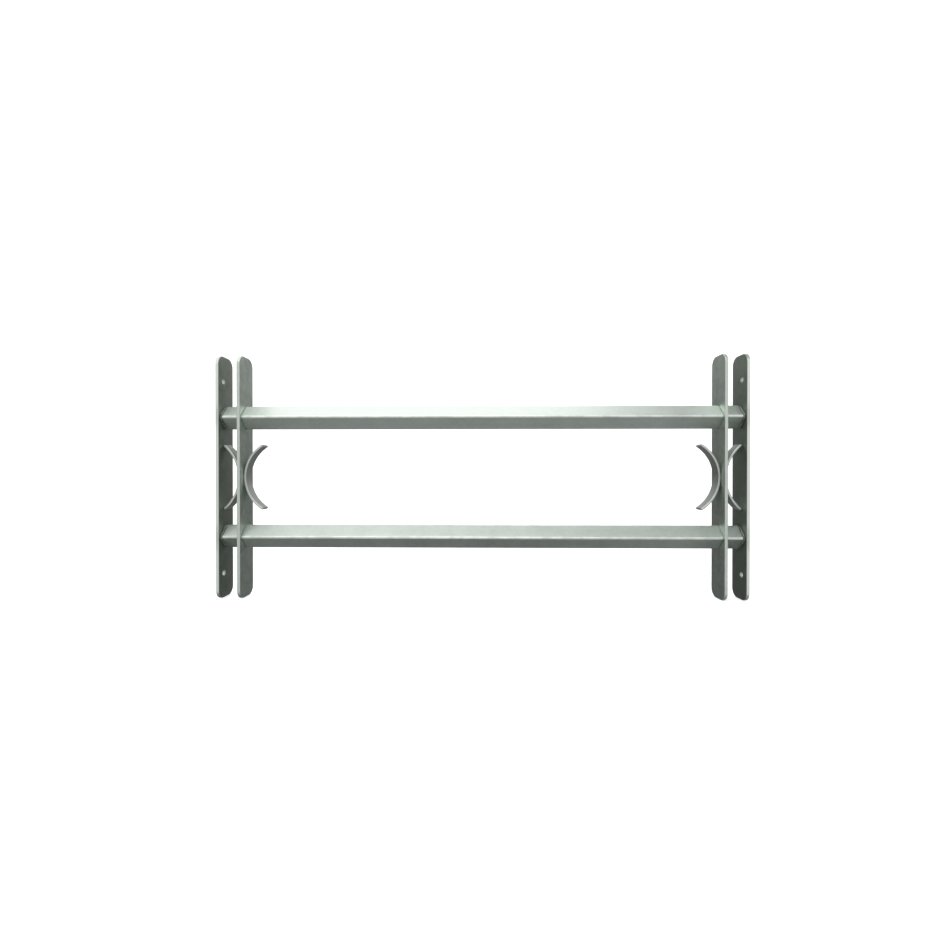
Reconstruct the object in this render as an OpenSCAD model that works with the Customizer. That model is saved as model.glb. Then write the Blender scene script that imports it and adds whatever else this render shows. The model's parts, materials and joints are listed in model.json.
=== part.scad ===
// Extendable window security bar. Two telescoping square rails set on edge join two
// screwed end plates, and two flat bars with arc ornaments slide along the rails.
// Millimetres, +X along the rails, +Z up, the room side at -Y, origin at the middle.

/* [Overall] */
// width over the end plates when the bar is pushed together
compact_w = 656; // [560:1:1000]
// height of the end plates and of the sliding bars
plate_h = 304; // [220:1:500]
// distance between the centres of the two rails
rail_pitch = 150; // [100:1:300]
// how far each end plate pulls out
pull_out = 235; // [100:1:400]

/* [Flat bars] */
// depth of every flat bar, front to back
plate_d = 35; // [30:0.5:50]
// thickness of the end plates and of the sliding bars
plate_t = 4; // [3:0.5:6]
// rounding of the flat bars' corners
plate_r = 11; // [1:0.5:16]
// clear space between an end plate and the sliding bar beside it
bar_gap = 22.4; // [18:0.1:40]

/* [Rails] */
// side of the square outer tube, the sleeve
sleeve_a = 22; // [16:0.5:30]
// wall of the sleeve
sleeve_wall = 1.5; // [1:0.1:2.5]
// side of the square inner tube that slides in the sleeve
slide_a = 18; // [12:0.5:26]
// wall of the inner tube
slide_wall = 1.5; // [1:0.1:2.5]
// outside corner rounding of both tubes
tube_r = 2.6; // [1.6:0.1:4]
// length of inner tube that stays in the sleeve when pulled out
overlap = 85; // [50:1:150]
// space between the sleeve's end and the end plate
sleeve_short = 2.6; // [2:0.1:6]
// play between the sleeve and a sliding bar's hole, on each side
hole_play = 0.4; // [0.3:0.05:1]

/* [Screw holes] */
// diameter of a screw hole
screw_d = 7; // [4:0.1:10]
// height of the screw holes above and below the middle
screw_z = 121; // [90:1:140]
// how far the screw holes lie in front of the flat bar's middle
screw_front = 5; // [0:0.5:8]

/* [Arcs] */
// outside radius of an outer arc, the one beside the end plate
outer_arc_r = 52.5; // [35:0.5:80]
// half of the angle that an outer arc covers
outer_arc_half = 51.3; // [30:0.1:75]
// outside radius of an inner arc, the one towards the middle
inner_arc_r = 48.5; // [35:0.5:80]
// half of the angle that an inner arc covers
inner_arc_half = 58; // [30:0.1:75]
// thickness of the arc's strip
arc_t = 2.8; // [2:0.1:5]
// width of the arc's strip, front to back
arc_w = 16; // [10:0.5:30]
// height of the weld between an arc and its bar
arc_weld_h = 22; // [8:0.5:30]
// weld metal between the arc and its bar at the thinnest point
arc_root = 0.4; // [0.3:0.1:1]

/* [Rail welds] */
// leg of the weld along the end plate
weld_leg = 2.4; // [1:0.1:3]
// leg of the weld along the tube
weld_rise = 2; // [1:0.1:2.4]

/* [Hidden] */
$fn = 96;

zinc = [0.66, 0.69, 0.66];
zinc_dark = [0.52, 0.55, 0.52];
weld_grey = [0.45, 0.47, 0.46];

end_x = compact_w / 2 - plate_t;          // inner face of an end plate
sleeve_x = end_x - sleeve_short;          // end of a sleeve
bar_x = end_x - bar_gap;                  // outer face of a sliding bar
slide_l = pull_out + overlap;             // length of an inner tube
rail_z = rail_pitch / 2;
hole_a = sleeve_a + 2 * hole_play;        // side of a sliding bar's hole
hole_r = tube_r + hole_play;
eps = 1;                                  // how far a cutter stands out of what it cuts
arc_fn = 360;                             // fine enough for the thin weld behind an arc

// square with rounded corners, about the origin
module round_square(a, r) {
  square([a, a - 2 * r], center = true);
  square([a - 2 * r, a], center = true);
  for (u = [-1, 1], v = [-1, 1]) translate([u * (a / 2 - r), v * (a / 2 - r)]) circle(r);
}

// solid diamond-shaped bar from x0 to x1 along a rail
module diamond(a, r, x0, x1, z) {
  translate([x0, 0, z]) rotate([90, 0, 90]) rotate([0, 0, 45])
    linear_extrude(x1 - x0) round_square(a, r);
}

// square tube set on edge, from x0 to x1
module tube(a, wall, x0, x1, z) {
  difference() {
    diamond(a, tube_r, x0, x1, z);
    diamond(a - 2 * wall, tube_r - wall, x0 - eps, x1 + eps, z);
  }
}

// flat bar standing up, with its left face at x0
module flat_bar(x0) {
  translate([x0, 0, 0]) rotate([90, 0, 90]) linear_extrude(plate_t) {
    square([plate_d, plate_h - 2 * plate_r], center = true);
    square([plate_d - 2 * plate_r, plate_h], center = true);
    for (u = [-1, 1], v = [-1, 1])
      translate([u * (plate_d / 2 - plate_r), v * (plate_h / 2 - plate_r)]) circle(plate_r);
  }
}

// everything below is drawn for the left end, and mirrored for the right one

module end_plate() {
  difference() {
    flat_bar(-end_x - plate_t);
    for (s = [-1, 1])
      translate([-end_x - plate_t - eps, -screw_front, s * screw_z])
        rotate([0, 90, 0]) cylinder(d = screw_d, h = plate_t + 2 * eps);
  }
}

module slide_tube(z) { tube(slide_a, slide_wall, -end_x, -end_x + slide_l, z); }

// trapezoid block of the weld, across one pair of the tube's sides
module weld_block() {
  half = slide_a / 2;
  rotate([90, 0, 0]) linear_extrude(slide_a - 2 * tube_r, center = true)
    polygon([[-half - weld_leg, 0], [half + weld_leg, 0], [half, weld_rise], [-half, weld_rise]]);
}

// fillet weld around a tube where it meets the end plate
module rail_weld(z) {
  difference() {
    translate([-end_x, 0, z]) rotate([90, 0, 90]) rotate([0, 0, 45]) {
      weld_block();
      rotate([0, 0, 90]) weld_block();
      for (u = [-1, 1], v = [-1, 1])
        translate([u * (slide_a / 2 - tube_r), v * (slide_a / 2 - tube_r), 0])
          cylinder(r1 = tube_r + weld_leg, r2 = tube_r, h = weld_rise);
    }
    diamond(slide_a, tube_r, -end_x - eps, -end_x + weld_rise + eps, z);
  }
}

module ornament_bar() {
  difference() {
    flat_bar(-bar_x);
    for (s = [-1, 1])
      diamond(hole_a, hole_r, -bar_x - eps, -bar_x + plate_t + eps, s * rail_z);
  }
}

// side -1 is the arc towards the end plate, side 1 the one towards the middle
function arc_face(side) = -bar_x + (side > 0 ? plate_t : 0);
function arc_r(side) = side > 0 ? inner_arc_r : outer_arc_r;
function arc_half(side) = side > 0 ? inner_arc_half : outer_arc_half;
function arc_centre(side) = arc_face(side) + side * (arc_root + arc_r(side));

module arc(side) {
  translate([arc_centre(side), 0, 0]) rotate([90, 0, 0])
    rotate([0, 0, (side > 0 ? 180 : 0) - arc_half(side)])
      rotate_extrude(angle = 2 * arc_half(side), $fn = arc_fn)
        translate([arc_r(side) - arc_t, -arc_w / 2]) square([arc_t, arc_w]);
}

// weld metal that fills the narrow space between the bar and the arc's back
module arc_weld(side) {
  r = arc_r(side);
  reach = arc_root + r - sqrt(r * r - arc_weld_h * arc_weld_h / 4);
  difference() {
    translate([arc_face(side) + (side > 0 ? 0 : -reach), -arc_w / 2 + 1, -arc_weld_h / 2])
      cube([reach, arc_w - 2, arc_weld_h]);
    translate([arc_centre(side), arc_w, 0]) rotate([90, 0, 0])
      cylinder(r = r, h = 2 * arc_w, $fn = arc_fn);
  }
}

module upper_sleeve() color(zinc) tube(sleeve_a, sleeve_wall, -sleeve_x, sleeve_x, rail_z);
module lower_sleeve() color(zinc) tube(sleeve_a, sleeve_wall, -sleeve_x, sleeve_x, -rail_z);

module left_end_plate() color(zinc) end_plate();
module left_upper_slide_tube() color(zinc_dark) slide_tube(rail_z);
module left_lower_slide_tube() color(zinc_dark) slide_tube(-rail_z);
module left_upper_weld() color(weld_grey) rail_weld(rail_z);
module left_lower_weld() color(weld_grey) rail_weld(-rail_z);

module right_end_plate() color(zinc) mirror([1, 0, 0]) end_plate();
module right_upper_slide_tube() color(zinc_dark) mirror([1, 0, 0]) slide_tube(rail_z);
module right_lower_slide_tube() color(zinc_dark) mirror([1, 0, 0]) slide_tube(-rail_z);
module right_upper_weld() color(weld_grey) mirror([1, 0, 0]) rail_weld(rail_z);
module right_lower_weld() color(weld_grey) mirror([1, 0, 0]) rail_weld(-rail_z);

module left_ornament_bar() color(zinc) ornament_bar();
module left_outer_arc() color(zinc) arc(-1);
module left_inner_arc() color(zinc) arc(1);
module left_outer_arc_weld() color(weld_grey) arc_weld(-1);
module left_inner_arc_weld() color(weld_grey) arc_weld(1);

module right_ornament_bar() color(zinc) mirror([1, 0, 0]) ornament_bar();
module right_outer_arc() color(zinc) mirror([1, 0, 0]) arc(-1);
module right_inner_arc() color(zinc) mirror([1, 0, 0]) arc(1);
module right_outer_arc_weld() color(weld_grey) mirror([1, 0, 0]) arc_weld(-1);
module right_inner_arc_weld() color(weld_grey) mirror([1, 0, 0]) arc_weld(1);

upper_sleeve();
lower_sleeve();
left_end_plate();
left_upper_slide_tube();
left_lower_slide_tube();
left_upper_weld();
left_lower_weld();
right_end_plate();
right_upper_slide_tube();
right_lower_slide_tube();
right_upper_weld();
right_lower_weld();
left_ornament_bar();
left_outer_arc();
left_inner_arc();
left_outer_arc_weld();
left_inner_arc_weld();
right_ornament_bar();
right_outer_arc();
right_inner_arc();
right_outer_arc_weld();
right_inner_arc_weld();
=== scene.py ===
# %% [markdown]
# # An extendable window bar in galvanised steel
# The bar is two square tubes set on edge, two end plates that are screwed to the sides of a window,
# and two flat bars that slide along the tubes and carry arcs of strip. The solid model is loaded
# first, because it says where every piece is. Each piece is then modelled again with its real
# edges, holes and weld beads, and given zinc.

# %% Load the frame
import json
import math

import bmesh
import bpy
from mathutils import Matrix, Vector

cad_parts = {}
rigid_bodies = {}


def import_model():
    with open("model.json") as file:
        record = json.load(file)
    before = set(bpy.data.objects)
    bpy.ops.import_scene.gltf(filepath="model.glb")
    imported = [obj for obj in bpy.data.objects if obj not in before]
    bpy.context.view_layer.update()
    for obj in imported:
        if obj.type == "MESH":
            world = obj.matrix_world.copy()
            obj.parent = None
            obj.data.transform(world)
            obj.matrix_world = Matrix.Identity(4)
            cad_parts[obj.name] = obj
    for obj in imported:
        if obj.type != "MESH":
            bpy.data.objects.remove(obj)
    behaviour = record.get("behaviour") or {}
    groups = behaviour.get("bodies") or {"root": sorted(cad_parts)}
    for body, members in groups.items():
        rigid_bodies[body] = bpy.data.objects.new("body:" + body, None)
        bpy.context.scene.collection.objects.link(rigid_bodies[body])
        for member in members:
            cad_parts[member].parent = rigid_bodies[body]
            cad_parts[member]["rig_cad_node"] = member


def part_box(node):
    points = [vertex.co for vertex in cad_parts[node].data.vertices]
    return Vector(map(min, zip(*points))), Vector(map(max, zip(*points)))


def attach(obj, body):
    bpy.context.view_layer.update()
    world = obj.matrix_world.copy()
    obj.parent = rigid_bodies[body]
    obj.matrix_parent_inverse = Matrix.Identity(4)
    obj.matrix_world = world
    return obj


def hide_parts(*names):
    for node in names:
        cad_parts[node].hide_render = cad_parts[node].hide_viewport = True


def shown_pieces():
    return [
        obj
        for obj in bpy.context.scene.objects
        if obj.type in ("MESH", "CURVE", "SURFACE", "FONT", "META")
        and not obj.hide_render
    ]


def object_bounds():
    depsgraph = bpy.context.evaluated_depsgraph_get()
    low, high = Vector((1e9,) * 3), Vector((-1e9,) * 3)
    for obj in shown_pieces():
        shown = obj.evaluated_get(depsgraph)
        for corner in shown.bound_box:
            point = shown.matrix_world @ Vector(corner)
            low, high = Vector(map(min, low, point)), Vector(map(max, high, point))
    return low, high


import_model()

cad_low, cad_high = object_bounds()
print("box in mm:", [round(v * 1000, 1) for v in cad_high - cad_low])

# %% [markdown]
# ## The camera
# The camera stands close, in the middle and level with the bar, so the end plates show their wide
# inner faces and their front edges together. It could stand far off with a long lens, but then
# the plates would look like thin lines. It is turned a degree to the left.

# %% Camera
MM = 0.001
CAMERA_PLACE = (3.8 * MM, -616.5 * MM, 8.2 * MM)
CAMERA_TURN = 1.125  # degrees, anticlockwise from above
CAMERA_DIP = 0.34  # degrees, downwards
LENS = 18.56  # mm on a 36 mm sensor

camera_data = bpy.data.cameras.new("camera")
camera_data.lens = LENS
camera_data.sensor_width = 36
camera_data.clip_start = 0.01
camera = bpy.data.objects.new("camera", camera_data)
camera.location = CAMERA_PLACE
camera.rotation_euler = (math.radians(90 - CAMERA_DIP), 0, math.radians(CAMERA_TURN))
bpy.context.scene.collection.objects.link(camera)
bpy.context.scene.camera = camera
print("camera at", [round(v, 4) for v in camera.location], "lens", LENS)

# %% [markdown]
# ## Small tools
# Blender's operators act on whatever is selected, and the loaded model comes in selected. So every
# step starts by selecting one thing only. Faces, edges and corners are then picked in code by
# where they are or which way they face, which is the same as clicking them.

# %% Selecting and picking
X, Y, Z = Vector((1, 0, 0)), Vector((0, 1, 0)), Vector((0, 0, 1))


def select_only(*objects):
    bpy.ops.object.select_all(action="DESELECT")
    for obj in objects:
        obj.select_set(True)
    bpy.context.view_layer.objects.active = objects[0]


def edit(obj, mode):
    """Opens an object in edit mode with nothing selected; mode is VERT, EDGE or FACE."""
    select_only(obj)
    bpy.ops.object.mode_set(mode="EDIT")
    bpy.ops.mesh.select_mode(type=mode)
    bpy.ops.mesh.select_all(action="DESELECT")
    return bmesh.from_edit_mesh(obj.data)


def pick(obj, elements, test):
    """Selects the vertices, edges or faces of the open mesh that pass the test."""
    for element in elements:
        element.select_set(bool(test(element)))
    bmesh.update_edit_mesh(obj.data)


def close_edit():
    bpy.ops.object.mode_set(mode="OBJECT")


def runs_along(edge, axis):
    return abs((edge.verts[1].co - edge.verts[0].co).normalized().dot(axis)) > 0.999


print("tools ready")

# %% Modifiers and copies


def finish_with(obj, kind, **settings):
    """Adds a modifier, sets it and applies it."""
    select_only(obj)
    modifier = obj.modifiers.new(kind.lower(), kind)
    for name, value in settings.items():
        setattr(modifier, name, value)
    bpy.ops.object.modifier_apply(modifier=modifier.name)


def cut_with(obj, cutter):
    """Takes the cutter's volume out of an object, and throws the cutter away."""
    finish_with(obj, "BOOLEAN", operation="DIFFERENCE", solver="EXACT", object=cutter)
    bpy.data.objects.remove(cutter)


def block(name, low, high):
    """A box between two corners, with its place in its mesh."""
    bpy.ops.mesh.primitive_cube_add(size=1, location=(Vector(low) + Vector(high)) / 2)
    obj = bpy.context.object
    obj.name = name
    obj.scale = Vector(high) - Vector(low)
    bpy.ops.object.transform_apply(location=True, rotation=True, scale=True)
    return obj


def smooth(obj, degrees=35):
    """Smooth shading that keeps large flat faces flat beside their bevels."""
    select_only(obj)
    bpy.ops.object.shade_smooth_by_angle(angle=math.radians(degrees))
    finish_with(obj, "WEIGHTED_NORMAL", keep_sharp=True, weight=80)


def mirrored(obj, name, axis):
    """A copy with its own mesh, mirrored across the middle of the bar."""
    twin = obj.copy()
    twin.data = obj.data.copy()
    twin.name = name
    bpy.context.scene.collection.objects.link(twin)
    select_only(twin)
    twin.scale = [-1 if a else 1 for a in axis]
    bpy.ops.object.transform_apply(location=True, rotation=True, scale=True)
    edit(twin, "FACE")
    bpy.ops.mesh.select_all(action="SELECT")
    bpy.ops.mesh.normals_make_consistent(inside=False)
    close_edit()
    if twin.data.has_custom_normals:
        finish_with(twin, "WEIGHTED_NORMAL", keep_sharp=True, weight=80)
    return twin


print("modifier tools ready")

# %% [markdown]
# ## Rubbed edges
# Zinc is soft, so it is rubbed bright wherever a piece has a corner. A material can't see a corner
# by itself, so each mesh carries a number called rubbed: one along the middle of every rounded
# edge and nought on the flats. It is worked out from the mesh. A corner point that touches
# only narrow faces lies in the middle of a rounded edge.

# %% Mark the rounded edges
NARROW_FACE = 1.1 * MM


def mark_rubbed(obj):
    mesh = obj.data
    work = bmesh.new()
    work.from_mesh(mesh)
    layer = work.verts.layers.float.new("rubbed")
    for vert in work.verts:
        widths = [min(edge.calc_length() for edge in face.edges) for face in vert.link_faces]
        vert[layer] = 1.0 if widths and max(widths) < NARROW_FACE else 0.0
    work.to_mesh(mesh)
    work.free()
    values = [item.value for item in mesh.attributes["rubbed"].data]
    print(f"  {obj.name}: {len(mesh.polygons)} faces, {sum(values):.0f} rubbed points")


def keep(obj, body, node):
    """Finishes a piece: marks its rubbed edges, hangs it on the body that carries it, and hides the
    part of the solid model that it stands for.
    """
    mark_rubbed(obj)
    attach(obj, body)
    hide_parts(node)
    return obj


print("marking ready")

# %% [markdown]
# ## The end plates
# An end plate is a length of flat bar, 35 by 4 mm, stamped round at its corners and drilled for two
# screws. It could be drawn as an outline and thickened. Here a block gets its four corners
# rounded first, the way a press nips them, and is drilled after that, so that the last fine
# bevel rounds the outline and the screw holes together, as the zinc bath does.

# %% Flat bar
CORNER_R = 11 * MM
EDGE_R = 0.6 * MM
SCREW_R = 3.5 * MM
SCREW_Y = -5 * MM
SCREW_Z = 121 * MM


def flat_bar(name, node):
    low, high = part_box(node)
    bar = block(name, low, high)
    mesh = edit(bar, "EDGE")
    pick(bar, mesh.edges, lambda edge: runs_along(edge, X))
    bpy.ops.mesh.bevel(offset=CORNER_R, segments=14, profile=0.5)
    close_edit()
    return bar


def round_the_edges(obj, radius):
    finish_with(obj, "BEVEL", width=radius, segments=4, limit_method="ANGLE",
                angle_limit=math.radians(40), use_clamp_overlap=True)
    smooth(obj)


plate = flat_bar("end_plate_left", "left_end_plate")
print("flat bar with", len(plate.data.polygons), "faces")

# %% Drill and deburr the end plates
plate_low, plate_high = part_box("left_end_plate")
plate_middle = (plate_low + plate_high) / 2
for side in (-1, 1):
    bpy.ops.mesh.primitive_cylinder_add(
        vertices=48, radius=SCREW_R, depth=0.02, rotation=(0, math.radians(90), 0),
        location=(plate_middle.x, SCREW_Y, side * SCREW_Z))
    cut_with(plate, bpy.context.object)
round_the_edges(plate, EDGE_R)
keep(plate, "left_frame", "left_end_plate")

plate_right = mirrored(plate, "end_plate_right", (1, 0, 0))
keep(plate_right, "right_frame", "right_end_plate")

# %% [markdown]
# ## The sliding bars
# A sliding bar is the same flat bar with two diamond holes, a little wider than the tube that runs
# through them. A diamond hole is stamped, so its corners are round. The punch is modelled as a
# square block with rounded edges, turned on its corner, and pressed through the bar.

# %% Stamp the diamond holes
HOLE_SIDE = 22.8 * MM
HOLE_R = 3 * MM
RAIL_Z = 75 * MM


def turned_on_corner(obj, centre):
    """An eighth of a turn about the rail's own axis."""
    edit(obj, "VERT")
    bpy.ops.mesh.select_all(action="SELECT")
    bpy.ops.transform.rotate(value=math.radians(45), orient_axis="X", center_override=centre)
    close_edit()


def square_punch(x, z):
    half = HOLE_SIDE / 2
    punch = block("punch", (x - 0.01, -half, z - half), (x + 0.01, half, z + half))
    mesh = edit(punch, "EDGE")
    pick(punch, mesh.edges, lambda edge: runs_along(edge, X))
    bpy.ops.mesh.bevel(offset=HOLE_R, segments=8, profile=0.5)
    close_edit()
    turned_on_corner(punch, (x, 0, z))
    return punch


slider = flat_bar("sliding_bar_left", "left_ornament_bar")
slider_low, slider_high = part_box("left_ornament_bar")
for side in (-1, 1):
    cut_with(slider, square_punch((slider_low.x + slider_high.x) / 2, side * RAIL_Z))
round_the_edges(slider, EDGE_R)
keep(slider, "left_ornament", "left_ornament_bar")

slider_right = mirrored(slider, "sliding_bar_right", (1, 0, 0))
keep(slider_right, "right_ornament", "right_ornament_bar")

# %% [markdown]
# ## The tubes
# Square tube is strip steel rolled up and welded along one wall, with rounded corners and a thin,
# even wall. It could be made as two blocks, one cut out of the other. A single open skin that
# is given its wall afterwards is simpler, and the inside corner comes out right by itself:
# the outside radius less the wall.

# %% Square tube
TUBE_R = 2.6 * MM
WALL = 1.5 * MM
SLEEVE_SIDE = 22 * MM
INNER_SIDE = 18 * MM
SAWN_R = 0.25 * MM


def square_tube(name, node, side):
    low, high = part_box(node)
    middle = (low + high) / 2
    half = side / 2
    tube = block(name, (low.x, middle.y - half, middle.z - half),
                 (high.x, middle.y + half, middle.z + half))
    mesh = edit(tube, "FACE")
    pick(tube, mesh.faces, lambda face: abs(face.normal.x) > 0.9)
    bpy.ops.mesh.delete(type="ONLY_FACE")
    bpy.ops.mesh.select_mode(type="EDGE")
    bpy.ops.mesh.select_all(action="DESELECT")
    mesh = bmesh.from_edit_mesh(tube.data)
    pick(tube, mesh.edges, lambda edge: runs_along(edge, X))
    bpy.ops.mesh.bevel(offset=TUBE_R, segments=8, profile=0.5)
    close_edit()
    turned_on_corner(tube, middle)
    finish_with(tube, "SOLIDIFY", thickness=WALL, offset=-1, use_even_offset=True)
    finish_with(tube, "BEVEL", width=SAWN_R, segments=2, limit_method="ANGLE",
                angle_limit=math.radians(60), use_clamp_overlap=True)
    smooth(tube, 40)
    return tube


sleeve = square_tube("sleeve_upper", "upper_sleeve", SLEEVE_SIDE)
keep(sleeve, "rails", "upper_sleeve")
sleeve_lower = mirrored(sleeve, "sleeve_lower", (0, 0, 1))
keep(sleeve_lower, "rails", "lower_sleeve")

# %% The four inner tubes
inner = square_tube("inner_tube_left_upper", "left_upper_slide_tube", INNER_SIDE)
keep(inner, "left_frame", "left_upper_slide_tube")
for name, body, node, axis in (
    ("inner_tube_left_lower", "left_frame", "left_lower_slide_tube", (0, 0, 1)),
    ("inner_tube_right_upper", "right_frame", "right_upper_slide_tube", (1, 0, 0)),
    ("inner_tube_right_lower", "right_frame", "right_lower_slide_tube", (1, 0, 1)),
):
    keep(mirrored(inner, name, axis), body, node)

# %% [markdown]
# ## The arcs
# Each arc is a short length of strip bent round a former, with its corners knocked off. The inner
# arcs are bent a little tighter than the outer ones. The way to model a bent strip is to draw its
# cross-section once and spin it round the middle of the bend. The section gets rounded corners
# before the spin, so both long edges come out soft.

# %% Bend the strip
OUTER_BEND = (52.5 * MM, math.radians(51.3))  # radius of the back, half of the angle it covers
INNER_BEND = (48.5 * MM, math.radians(58))
ARC_T = 2.8 * MM
ARC_W = 16 * MM
STRIP_R = 0.7 * MM
STRIP_END_R = 0.5 * MM


def arc(name, node, hollow, radius, half_angle):
    """hollow is 1 if the arc opens towards +X and -1 if it opens towards -X."""
    low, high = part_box(node)
    back = low.x if hollow > 0 else high.x
    centre = Vector((back + hollow * radius, 0, 0))
    bpy.ops.mesh.primitive_plane_add(size=1, location=(back + hollow * ARC_T / 2, 0, 0))
    strip = bpy.context.object
    strip.name = name
    strip.scale = (ARC_T, ARC_W, 1)
    bpy.ops.object.transform_apply(location=True, rotation=True, scale=True)
    edit(strip, "VERT")
    bpy.ops.mesh.select_all(action="SELECT")
    bpy.ops.mesh.bevel(offset=STRIP_R, segments=5, affect="VERTICES")
    bpy.ops.mesh.select_all(action="SELECT")
    bpy.ops.transform.rotate(value=-half_angle, orient_axis="Y", center_override=centre)
    bpy.ops.mesh.spin(steps=56, angle=2 * half_angle, center=centre, axis=(0, 1, 0))
    close_edit()
    return strip


print(f"strip {ARC_W / MM:.0f} by {ARC_T / MM:.1f} mm")

# %% Round the ends of the strip


def round_the_ends(strip):
    """Turns every face outwards and knocks the corners off the strip's two ends."""
    edit(strip, "EDGE")
    bpy.ops.mesh.select_all(action="SELECT")
    bpy.ops.mesh.remove_doubles(threshold=1e-6)
    bpy.ops.mesh.normals_make_consistent(inside=False)
    close_edit()
    finish_with(strip, "BEVEL", width=STRIP_END_R, segments=3, limit_method="ANGLE",
                angle_limit=math.radians(60), use_clamp_overlap=True)
    smooth(strip)
    top = max(vert.co.z for vert in strip.data.vertices)
    print(f"  {strip.name}: reaches {top / MM:.1f} mm above and below the middle")


# %% The four arcs
inner_arc = arc("arc_left_inner", "left_inner_arc", 1, *INNER_BEND)
round_the_ends(inner_arc)
keep(inner_arc, "left_ornament", "left_inner_arc")
keep(mirrored(inner_arc, "arc_right_inner", (1, 0, 0)),
     "right_ornament", "right_inner_arc")

outer_arc = arc("arc_left_outer", "left_outer_arc", -1, *OUTER_BEND)
round_the_ends(outer_arc)
keep(outer_arc, "left_ornament", "left_outer_arc")
keep(mirrored(outer_arc, "arc_right_outer", (1, 0, 0)),
     "right_ornament", "right_outer_arc")

# %% [markdown]
# ## Weld beads
# A weld is a row of small puddles of steel, each frozen half over the one before, which gives the
# rippled bead. A smooth fillet would look like putty. So a puddle is one flattened ball, it is
# repeated along the joint, and a voxel remesh melts the row into one skin. The part of the
# bead that would sit inside the flat bar is cut off flush with the bar's face.

# %% A row of puddles
PUDDLE_STEP = 1.25 * MM
TUBE_PUDDLE = (1.45 * MM, 1.05 * MM, 1.45 * MM)
CORNER_PUDDLE = (1.4 * MM, 1.05 * MM, 1.4 * MM)
ARC_PUDDLE = (0.95 * MM, 0.95 * MM, 1.5 * MM)
VOXEL = 0.22 * MM


def puddle(place, along, size, turn=0.0):
    """One frozen puddle: size is its half extents across X, along the joint, and outwards."""
    bpy.ops.mesh.primitive_uv_sphere_add(segments=14, ring_count=8, radius=1)
    ball = bpy.context.object
    ball.scale = size
    ball.rotation_euler = (turn, 0, 0)
    ball.location = Vector(place) + along
    bpy.ops.object.transform_apply(location=True, rotation=True, scale=True)
    return ball


def melt(parts, name, face_x, bar_side):
    """Joins the puddles into one skin and trims it at the bar's face; the bar is on bar_side."""
    select_only(*parts)
    bpy.ops.object.join()
    bead = bpy.context.object
    bead.name = name
    finish_with(bead, "REMESH", mode="VOXEL", voxel_size=VOXEL)
    edit(bead, "VERT")
    bpy.ops.mesh.select_all(action="SELECT")
    bpy.ops.mesh.bisect(plane_co=(face_x, 0, 0), plane_no=(bar_side, 0, 0),
                        clear_outer=True, use_fill=True, threshold=1e-7)
    close_edit()
    select_only(bead)
    bpy.ops.object.shade_smooth()
    return bead


print("one puddle every", PUDDLE_STEP / MM, "mm")

# %% Weld round an inner tube
OFF_TUBE = 0.675 * MM  # from the tube's wall to the puddles' middles
OFF_PLATE = 0.35 * MM  # from the plate's face to the puddles' middles
TUBE_WANDER = 0.12 * MM
flat_half = INNER_SIDE / 2 - TUBE_R
plate_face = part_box("left_end_plate")[1].x


def rail_bead():
    balls = []
    middle = Vector((plate_face + OFF_PLATE, 0, RAIL_Z))
    per_side = round(2 * flat_half / PUDDLE_STEP)
    for side in range(4):
        turn = math.radians(45 + 90 * side)
        outwards = Vector((0, -math.sin(turn), math.cos(turn)))
        sideways = Vector((0, math.cos(turn), math.sin(turn)))
        for n in range(per_side + 1):
            at = -flat_half + 2 * flat_half * n / per_side
            wander = TUBE_WANDER * math.sin(2.3 * n + side)
            place = middle + outwards * (INNER_SIDE / 2 + OFF_TUBE + wander)
            balls.append(puddle(place, sideways * at, TUBE_PUDDLE, turn))
        corner = middle + (sideways * flat_half + outwards * flat_half)
        for n in (1, 2):
            bend = turn - math.radians(30 * n)
            reach = Vector((0, -math.sin(bend), math.cos(bend))) * (TUBE_R + OFF_TUBE)
            balls.append(puddle(corner, reach, CORNER_PUDDLE, bend))
    return melt(balls, "weld_left_upper", plate_face, -1)


bead = rail_bead()
keep(bead, "left_frame", "left_upper_weld")
for name, body, node, axis in (
    ("weld_left_lower", "left_frame", "left_lower_weld", (0, 0, 1)),
    ("weld_right_upper", "right_frame", "right_upper_weld", (1, 0, 0)),
    ("weld_right_lower", "right_frame", "right_lower_weld", (1, 0, 1)),
):
    keep(mirrored(bead, name, axis), body, node)

# %% Weld behind an arc
ARC_BEAD_W = ARC_W - 5 * MM
ARC_BEAD_Z = 9.4 * MM
ARC_WANDER = 0.25 * MM
OFF_BAR = 0.55 * MM  # from the sliding bar's face to the puddles' middles
ROOT_SINK, ROOT_RISE = 0.3 * MM, 0.56 * MM
ROOT_HALF_Y, ROOT_HALF_Z = ARC_W / 2 - 2.5 * MM, 9 * MM


def root_slab(x0, x1):
    """The thin slab of metal between the two beads."""
    return block("root", (min(x0, x1), -ROOT_HALF_Y, -ROOT_HALF_Z),
                 (max(x0, x1), ROOT_HALF_Y, ROOT_HALF_Z))


def arc_bead(name, node, arc_side):
    """Two short beads, above and below the line where the arc's back meets the bar."""
    low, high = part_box(node)
    face_x = low.x if arc_side > 0 else high.x
    balls = []
    per_row = round(ARC_BEAD_W / PUDDLE_STEP)
    for level in (-1, 1):
        for n in range(per_row + 1):
            y = (n / per_row - 0.5) * ARC_BEAD_W
            z = level * (ARC_BEAD_Z + ARC_WANDER * math.sin(1.9 * n + level))
            place = (face_x + arc_side * OFF_BAR, y, z)
            balls.append(puddle(place, Vector((0, 0, 0)), ARC_PUDDLE))
    balls.append(root_slab(face_x - arc_side * ROOT_SINK, face_x + arc_side * ROOT_RISE))
    return melt(balls, name, face_x, -arc_side)


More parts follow.
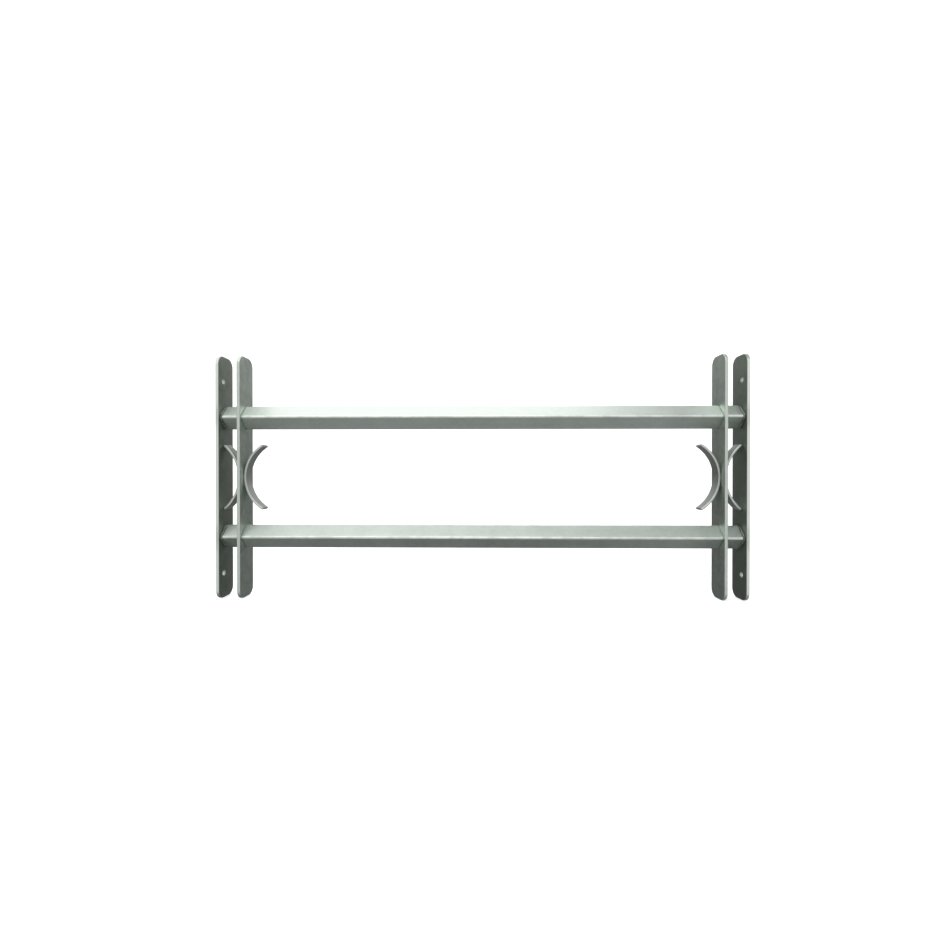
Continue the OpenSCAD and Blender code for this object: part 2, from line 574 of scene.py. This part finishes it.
inner_bead = arc_bead("arc_weld_left_inner", "left_inner_arc_weld", 1)
keep(inner_bead, "left_ornament", "left_inner_arc_weld")
keep(mirrored(inner_bead, "arc_weld_right_inner", (1, 0, 0)),
     "right_ornament", "right_inner_arc_weld")
outer_bead = arc_bead("arc_weld_left_outer", "left_outer_arc_weld", -1)
keep(outer_bead, "left_ornament", "left_outer_arc_weld")
keep(mirrored(outer_bead, "arc_weld_right_outer", (1, 0, 0)),
     "right_ornament", "right_outer_arc_weld")

# %% [markdown]
# ## Zinc
# Galvanised steel is a thin coat of zinc over steel. It is a metal, so nearly all of its look is
# reflection, and what tells it from chrome is how uneven that reflection is: soft cloudy patches,
# faint crystals a few millimetres across, drawing marks along the bar, pale specks of oxide,
# and bright rubbed corners. Each of these is one small group of nodes that changes the colour a
# little and the roughness a little more. All of them read the piece's own coordinates, so the
# marks stay on the steel when it slides.

# %% Node tools


class Recipe:
    """A material under construction, with short ways to add and join nodes."""

    def __init__(self, name):
        self.material = bpy.data.materials.new(name)
        self.material.use_nodes = True
        self.tree = self.material.node_tree
        self.tree.nodes.clear()
        output = self.tree.nodes.new("ShaderNodeOutputMaterial")
        self.shader = self.tree.nodes.new("ShaderNodeBsdfPrincipled")
        self.tree.links.new(self.shader.outputs[0], output.inputs["Surface"])
        self.place = self.tree.nodes.new("ShaderNodeTexCoord").outputs["Object"]

    def join(self, source, target):
        self.tree.links.new(source, target)

    def add(self, kind, links=(), **settings):
        """A node; links maps input names or numbers to sockets or plain values."""
        made = self.tree.nodes.new("ShaderNode" + kind)
        for name, value in settings.items():
            setattr(made, name, value)
        for key, value in dict(links).items():
            if isinstance(value, bpy.types.NodeSocket):
                self.join(value, made.inputs[key])
            else:
                made.inputs[key].default_value = value
        return made

    def maths(self, operation, a, b=0.0, c=0.0):
        return self.add("Math", {0: a, 1: b, 2: c}, operation=operation).outputs[0]

    def part(self, value, amount):
        return self.maths("MULTIPLY", value, amount)

    def swing(self, value, spread, middle=0.0):
        """Turns a value's swing from 0 to 1 into one of the given spread about a middle."""
        return self.maths("MULTIPLY_ADD", value, spread, middle - spread / 2)

    def total(self, first, *others):
        for other in others:
            first = self.maths("ADD", first, other)
        return first

    def fade(self, value, start, end, low=0.0, high=1.0):
        """Smooth step: low before start, high after end."""
        links = {"Value": value, "From Min": start, "From Max": end, "To Min": low, "To Max": high}
        return self.add("MapRange", links, interpolation_type="SMOOTHSTEP").outputs["Result"]

    def noise(self, place, scale, detail=3.0, roughness=0.5):
        links = {"Vector": place, "Scale": scale, "Detail": detail, "Roughness": roughness}
        return self.add("TexNoise", links).outputs["Fac"]

    def stretched(self, scale):
        """The piece's coordinates, squeezed by a different amount each way."""
        return self.add("Mapping", {"Vector": self.place, "Scale": scale}).outputs["Vector"]

    def blend(self, factor, a, b, mode="MIX"):
        links = {0: factor, 6: a, 7: b}
        return self.add("Mix", links, data_type="RGBA", blend_type=mode).outputs[2]


print("node tools ready")

# %% The zinc coat
# How fine each mark is, as a noise scale per metre.
CLOUDS, PATCHES, WEAR, CRYSTALS, SPECKS, FINE = 16, 34, 75, 260, 520, 1400
# How much each mark changes the brightness, the roughness and the relief.
TONE = {"clouds": 0.2, "crystals": 0.06, "lines": 0.1, "worn": 0.15}
ROUGH = {"clouds": 0.12, "crystals": 0.05, "lines": 0.08, "oxide": 0.2, "worn": -0.06}
RELIEF = {"fine": 0.25, "crystals": 0.2, "oxide": 0.6}
GRAIN_DEPTH = 0.012 * MM
OXIDE = (0.72, 0.74, 0.72, 1)


def zinc(name, colour, grain, rough):
    """grain squeezes the coordinates along the drawing direction, so noise turns into lines."""
    r = Recipe(name)
    clouds = r.noise(r.place, CLOUDS, 5.0, 0.6)
    crystal = r.add("TexVoronoi", {"Vector": r.place, "Scale": CRYSTALS}, feature="F1")
    crystal_tone = r.add("SeparateColor", {0: crystal.outputs["Color"]}).outputs[0]
    lines = r.noise(r.stretched(grain), 1.0, 6.0, 0.65)
    fine = r.noise(r.place, FINE, 3.0, 0.6)
    specks = r.fade(r.noise(r.place, SPECKS, 2.0, 0.5), 0.69, 0.76)
    patches = r.fade(r.noise(r.place, PATCHES, 3.0, 0.5), 0.5, 0.72)
    oxide = r.maths("MULTIPLY", specks, patches)
    rubbed = r.add("Attribute", attribute_name="rubbed").outputs["Fac"]
    worn = r.maths("MULTIPLY", rubbed, r.fade(r.noise(r.place, WEAR, 4.0, 0.6), 0.36, 0.6))

    tone = r.total(r.swing(clouds, TONE["clouds"], 1.0), r.swing(crystal_tone, TONE["crystals"]),
                   r.swing(lines, TONE["lines"]), r.part(worn, TONE["worn"]))
    grey = r.add("CombineColor", {0: tone, 1: tone, 2: tone}).outputs[0]
    coat = r.blend(1.0, (*colour, 1), grey, "MULTIPLY")

    roughness = r.total(
        r.swing(clouds, ROUGH["clouds"], rough), r.swing(crystal_tone, ROUGH["crystals"]),
        r.swing(lines, ROUGH["lines"]), r.part(oxide, ROUGH["oxide"]), r.part(worn, ROUGH["worn"]))
    relief = r.total(
        lines, r.part(fine, RELIEF["fine"]),
        r.part(crystal.outputs["Distance"], RELIEF["crystals"]), r.part(oxide, RELIEF["oxide"]))
    bump = r.add("Bump", {"Height": relief, "Strength": 0.3, "Distance": GRAIN_DEPTH})

    r.join(roughness, r.shader.inputs["Roughness"])
    r.join(bump.outputs["Normal"], r.shader.inputs["Normal"])
    r.shader.inputs["Metallic"].default_value = 0.97
    r.coat = r.blend(oxide, coat, OXIDE)
    return r


ALONG_X, ALONG_Z = (7, 900, 900), (900, 900, 7)
sleeve_zinc = zinc("zinc_outer_tube", (0.59, 0.64, 0.60), ALONG_X, 0.46)
sleeve_zinc.join(sleeve_zinc.coat, sleeve_zinc.shader.inputs["Base Color"])
print("outer tube zinc:", len(sleeve_zinc.tree.nodes), "nodes")

# %% [markdown]
# ## Marks and painted light that belong to one piece
# An inner tube is rubbed by its sleeve each time it is pulled, so long bright scratches run along
# it. The welded side of an end plate is painted darker all over, which is painted shade. Round
# each tube it is darker still, in a ring that is partly heat tint from the welding and partly
# painted shadow, and a little of the ring shows behind the tubes on the other side. The narrow
# edges of flat bar are painted lighter, which is a painted highlight. All this goes over the coat.

# %% Scratched inner tube
SCRATCH = (0.74, 0.76, 0.74, 1)
tube_zinc = zinc("zinc_inner_tube", (0.56, 0.60, 0.57), ALONG_X, 0.38)
scratch_lines = tube_zinc.noise(tube_zinc.stretched((14, 1500, 1500)), 1.0, 2.0, 0.4)
scratches = tube_zinc.fade(scratch_lines, 0.6, 0.68)
scratched = tube_zinc.blend(scratches, tube_zinc.coat, SCRATCH)
tube_zinc.join(scratched, tube_zinc.shader.inputs["Base Color"])
print("inner tube zinc:", len(tube_zinc.tree.nodes), "nodes")

# %% Flat bar, with painted edge highlights, and painted shade and heat tint round the tubes
EDGE_HIGHLIGHT_BAND = (17.0 * MM, 17.3 * MM)  # where the edge begins, from the middle of the bar's width
# Painted highlight: the narrow edges of flat bar are painted this lighter zinc, as if they caught
# more light than the faces.
EDGE_HIGHLIGHT_ZINC = (0.80, 0.83, 0.79, 1)
INNER_FACE = (324.1 * MM, 324.8 * MM)  # where an end plate's welded side ends, along X
RING_SHADE_REACH = (15 * MM, 27 * MM)  # where the ring begins to fade, and where it is gone
RING_SHADE_RAGGED = 9 * MM
# How dark the ring is on the welded side and on the other side, and how dark the painted shade over
# the whole welded side is.
RING_INSIDE, RING_OUTSIDE, FACE_INSIDE_SHADE = 0.75, 0.35, 0.62
# The dark zinc of the painted shade and the heat tint.
SHADE_AND_BURN_ZINC = (0.23, 0.28, 0.22, 1)


def flat_zinc(name, colour, grain, burn_and_shade, edge_highlight=0.75):
    r = zinc(name, colour, grain, 0.47)
    parts = r.add("SeparateXYZ", {0: r.place})
    # Painted highlight along the narrow edges of the bar.
    edge_highlight_mask = r.fade(r.maths("ABSOLUTE", parts.outputs["Y"]), *EDGE_HIGHLIGHT_BAND)
    r.coat = r.blend(r.part(edge_highlight_mask, edge_highlight), r.coat, EDGE_HIGHLIGHT_ZINC)
    if not burn_and_shade:
        r.join(r.coat, r.shader.inputs["Base Color"])
        return r
    # Painted shade over an end plate's welded side, and a ring round each tube that is partly heat
    # tint and partly painted shadow.
    height = r.maths("SUBTRACT", r.maths("ABSOLUTE", parts.outputs["Z"]), RAIL_Z)
    ring = r.add("CombineXYZ", {"Y": parts.outputs["Y"], "Z": height}).outputs[0]
    far = r.add("VectorMath", {0: ring}, operation="LENGTH").outputs["Value"]
    ragged = r.swing(r.noise(r.place, 160, 4.0, 0.6), RING_SHADE_RAGGED)
    ring_burn_and_shadow = r.fade(r.total(far, ragged), *RING_SHADE_REACH, 1.0, 0.0)
    inner_face = r.fade(r.maths("ABSOLUTE", parts.outputs["X"]), *INNER_FACE, 1.0, 0.0)
    burn_and_shadow_depth = r.maths("MULTIPLY_ADD", inner_face, RING_INSIDE - RING_OUTSIDE, RING_OUTSIDE)
    burn_and_painted_shade = r.maths("MAXIMUM", r.maths("MULTIPLY", ring_burn_and_shadow, burn_and_shadow_depth),
                     r.part(inner_face, FACE_INSIDE_SHADE))
    r.join(r.blend(burn_and_painted_shade, r.coat, SHADE_AND_BURN_ZINC), r.shader.inputs["Base Color"])
    return r


plate_zinc = flat_zinc("zinc_end_plate", (0.52, 0.565, 0.52), ALONG_Z, True)
slider_zinc = flat_zinc("zinc_sliding_bar", (0.53, 0.59, 0.535), ALONG_Z, False, 0.1)
arc_zinc = flat_zinc("zinc_arc", (0.55, 0.58, 0.55), (900, 900, 60), False)
print("end plate zinc:", len(plate_zinc.tree.nodes), "nodes")

# %% [markdown]
# ## Weld metal
# A weld that has been through the zinc bath is duller than the bar beside it, with soot-dark
# hollows between the ripples and a few bright high spots. The colour follows a noise at the
# size of the ripples, and a finer one roughens the skin.

# %% Weld finish
WELD_HOLLOW, WELD_CREST = (0.16, 0.17, 0.16, 1), (0.40, 0.42, 0.40, 1)

weld = Recipe("weld_metal")
mottle = weld.noise(weld.place, 420, 5.0, 0.65)
weld_colour = weld.blend(weld.fade(mottle, 0.35, 0.68), WELD_HOLLOW, WELD_CREST)
weld.join(weld_colour, weld.shader.inputs["Base Color"])
weld.join(weld.maths("MULTIPLY_ADD", mottle, 0.35, 0.28), weld.shader.inputs["Roughness"])
weld_skin = weld.noise(weld.place, 2600, 4.0, 0.7)
weld_bump = weld.add("Bump", {"Height": weld_skin, "Strength": 0.5, "Distance": 0.05 * MM})
weld.join(weld_bump.outputs["Normal"], weld.shader.inputs["Normal"])
weld.shader.inputs["Metallic"].default_value = 0.9
print("weld finish:", len(weld.tree.nodes), "nodes")

# %% Give every piece its finish
FINISHES = {
    "sleeve": sleeve_zinc, "inner_tube": tube_zinc, "end_plate": plate_zinc,
    "sliding_bar": slider_zinc, "arc_weld": weld, "weld": weld, "arc": arc_zinc,
}
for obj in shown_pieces():
    if "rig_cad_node" in obj:
        continue
    start = next(start for start in FINISHES if obj.name.startswith(start))
    obj.data.materials.clear()
    obj.data.materials.append(FINISHES[start].material)
    print(f"  {obj.name}: {FINISHES[start].material.name}")

# %% [markdown]
# ## Floor
# The bar stands on a plain pale floor that curves up all round into a wall, as in a studio, so no
# edge or corner shows behind it from any side. The curve is a disc whose rim is pulled out
# and up in small steps, along a quarter circle. Metal mirrors whatever is round it, and a white
# room would wash the steel out, so the floor is left out of reflections.

# %% Curved floor
FLOOR_R = 1.3
CURVE_R = 1.6
WALL_TOP = 7.0
CURVE_STEPS = 12
FLOOR_GAP = 0.5 * MM  # keeps the floor from lying in the same plane as the plates' feet
FLOOR_PAINT, FLOOR_GLOW = 0.71, 0.48

bpy.ops.object.select_all(action="DESELECT")
bpy.ops.mesh.primitive_circle_add(
    vertices=96, radius=FLOOR_R, fill_type="NGON", location=(0, 0, cad_low.z - FLOOR_GAP))
floor = bpy.context.object
floor.name = "studio_floor"
mesh = edit(floor, "EDGE")
pick(floor, mesh.edges, lambda edge: True)
radius, height = FLOOR_R, 0.0
stops = [math.radians(90 * n / CURVE_STEPS) for n in range(1, CURVE_STEPS + 1)]
profile = [(FLOOR_R + CURVE_R * math.sin(a), CURVE_R * (1 - math.cos(a))) for a in stops]
for new_radius, new_height in profile + [(profile[-1][0], WALL_TOP)]:
    bpy.ops.mesh.extrude_edges_move()
    grow = new_radius / radius
    bpy.ops.transform.resize(value=(grow, grow, 1), center_override=(0, 0, 0))
    bpy.ops.transform.translate(value=(0, 0, new_height - height))
    radius, height = new_radius, new_height
close_edit()
smooth(floor, 60)
floor.visible_glossy = False
floor_paint = Recipe("floor_paint")
floor_paint.shader.inputs["Base Color"].default_value = (*[FLOOR_PAINT] * 3, 1)
floor_paint.shader.inputs["Roughness"].default_value = 0.95
floor_paint.shader.inputs["Specular IOR Level"].default_value = 0.0
floor_paint.shader.inputs["Emission Color"].default_value = (1, 1, 1, 1)
floor_paint.shader.inputs["Emission Strength"].default_value = FLOOR_GLOW
floor.data.materials.append(floor_paint.material)
print("floor:", len(floor.data.polygons), "faces, radius", round(radius, 2), "m")

# %% [markdown]
# ## Light
# The upper walls of the tubes face up and forwards, so they mirror what hangs overhead: a long
# softbox there makes them nearly white and leaves the lower walls dark. A second one, higher and
# further forward, draws the bright line along each tube's front corner. The rest is a soft
# surround, pale overhead and in front of the bar, and dark behind it and level with it.

# %% Softboxes


def softbox(name, place, aim, size, power):
    light = bpy.data.lights.new(name, "AREA")
    light.shape = "RECTANGLE"
    light.size, light.size_y = size
    light.energy = power
    lamp = bpy.data.objects.new(name, light)
    lamp.location = place
    lamp.rotation_euler = (Vector(aim) - Vector(place)).to_track_quat("-Z", "Y").to_euler()
    lamp.visible_camera = False
    bpy.context.scene.collection.objects.link(lamp)
    return lamp


softbox("softbox_overhead", (-0.33, 0.27, 1.0), (-0.33, 0.27, 0.0), (1.56, 0.66), 5.6)
softbox("softbox_front", (-0.35, -0.9, 1.3), (-0.05, 0, 0), (1.7, 0.6), 9.0)
print("softboxes ready")

# %% Surround
world = bpy.data.worlds.new("surround")
bpy.context.scene.world = world
world.use_nodes = True
tree = world.node_tree
direction = tree.nodes.new("ShaderNodeTexCoord").outputs["Generated"]
parts = tree.nodes.new("ShaderNodeSeparateXYZ")
tree.links.new(direction, parts.inputs[0])


def ramp(source, stops):
    """Brightness along one direction, from -1 to 1, as a list of (place, brightness)."""
    spread = tree.nodes.new("ShaderNodeMapRange")
    spread.inputs["From Min"].default_value = -1
    tree.links.new(source, spread.inputs["Value"])
    ramp_node = tree.nodes.new("ShaderNodeValToRGB")
    tree.links.new(spread.outputs["Result"], ramp_node.inputs["Fac"])
    points = ramp_node.color_ramp.elements
    while len(points) < len(stops):
        points.new(0.5)
    for point, (place, bright) in zip(points, stops):
        point.position = (place + 1) / 2
        point.color = (bright, bright, bright, 1)
    return ramp_node.outputs["Color"]


heights = [(-1, 0.07), (-0.9, 0.22), (-0.3, 0.13), (0, 0.10), (0.07, 0.14), (0.18, 0.42),
           (0.5, 0.44), (1, 0.48)]
upwards = ramp(parts.outputs["Z"], heights)
sideways = ramp(parts.outputs["X"], [(-1, 0.6), (0, 1), (1, 1.3)])
forwards = ramp(parts.outputs["Y"], [(-1, 0.8), (-0.7, 0.6), (-0.3, 0.12), (0, 0)])


def combine(mode, a, b):
    mix = tree.nodes.new("ShaderNodeMix")
    mix.data_type, mix.blend_type = "RGBA", mode
    mix.inputs[0].default_value = 1
    tree.links.new(a, mix.inputs[6])
    tree.links.new(b, mix.inputs[7])
    return mix.outputs[2]


total = combine("ADD", combine("MULTIPLY", upwards, sideways), forwards)
tree.links.new(total, tree.nodes["Background"].inputs["Color"])
bpy.context.scene.view_settings.view_transform = "Standard"
print("surround ready")
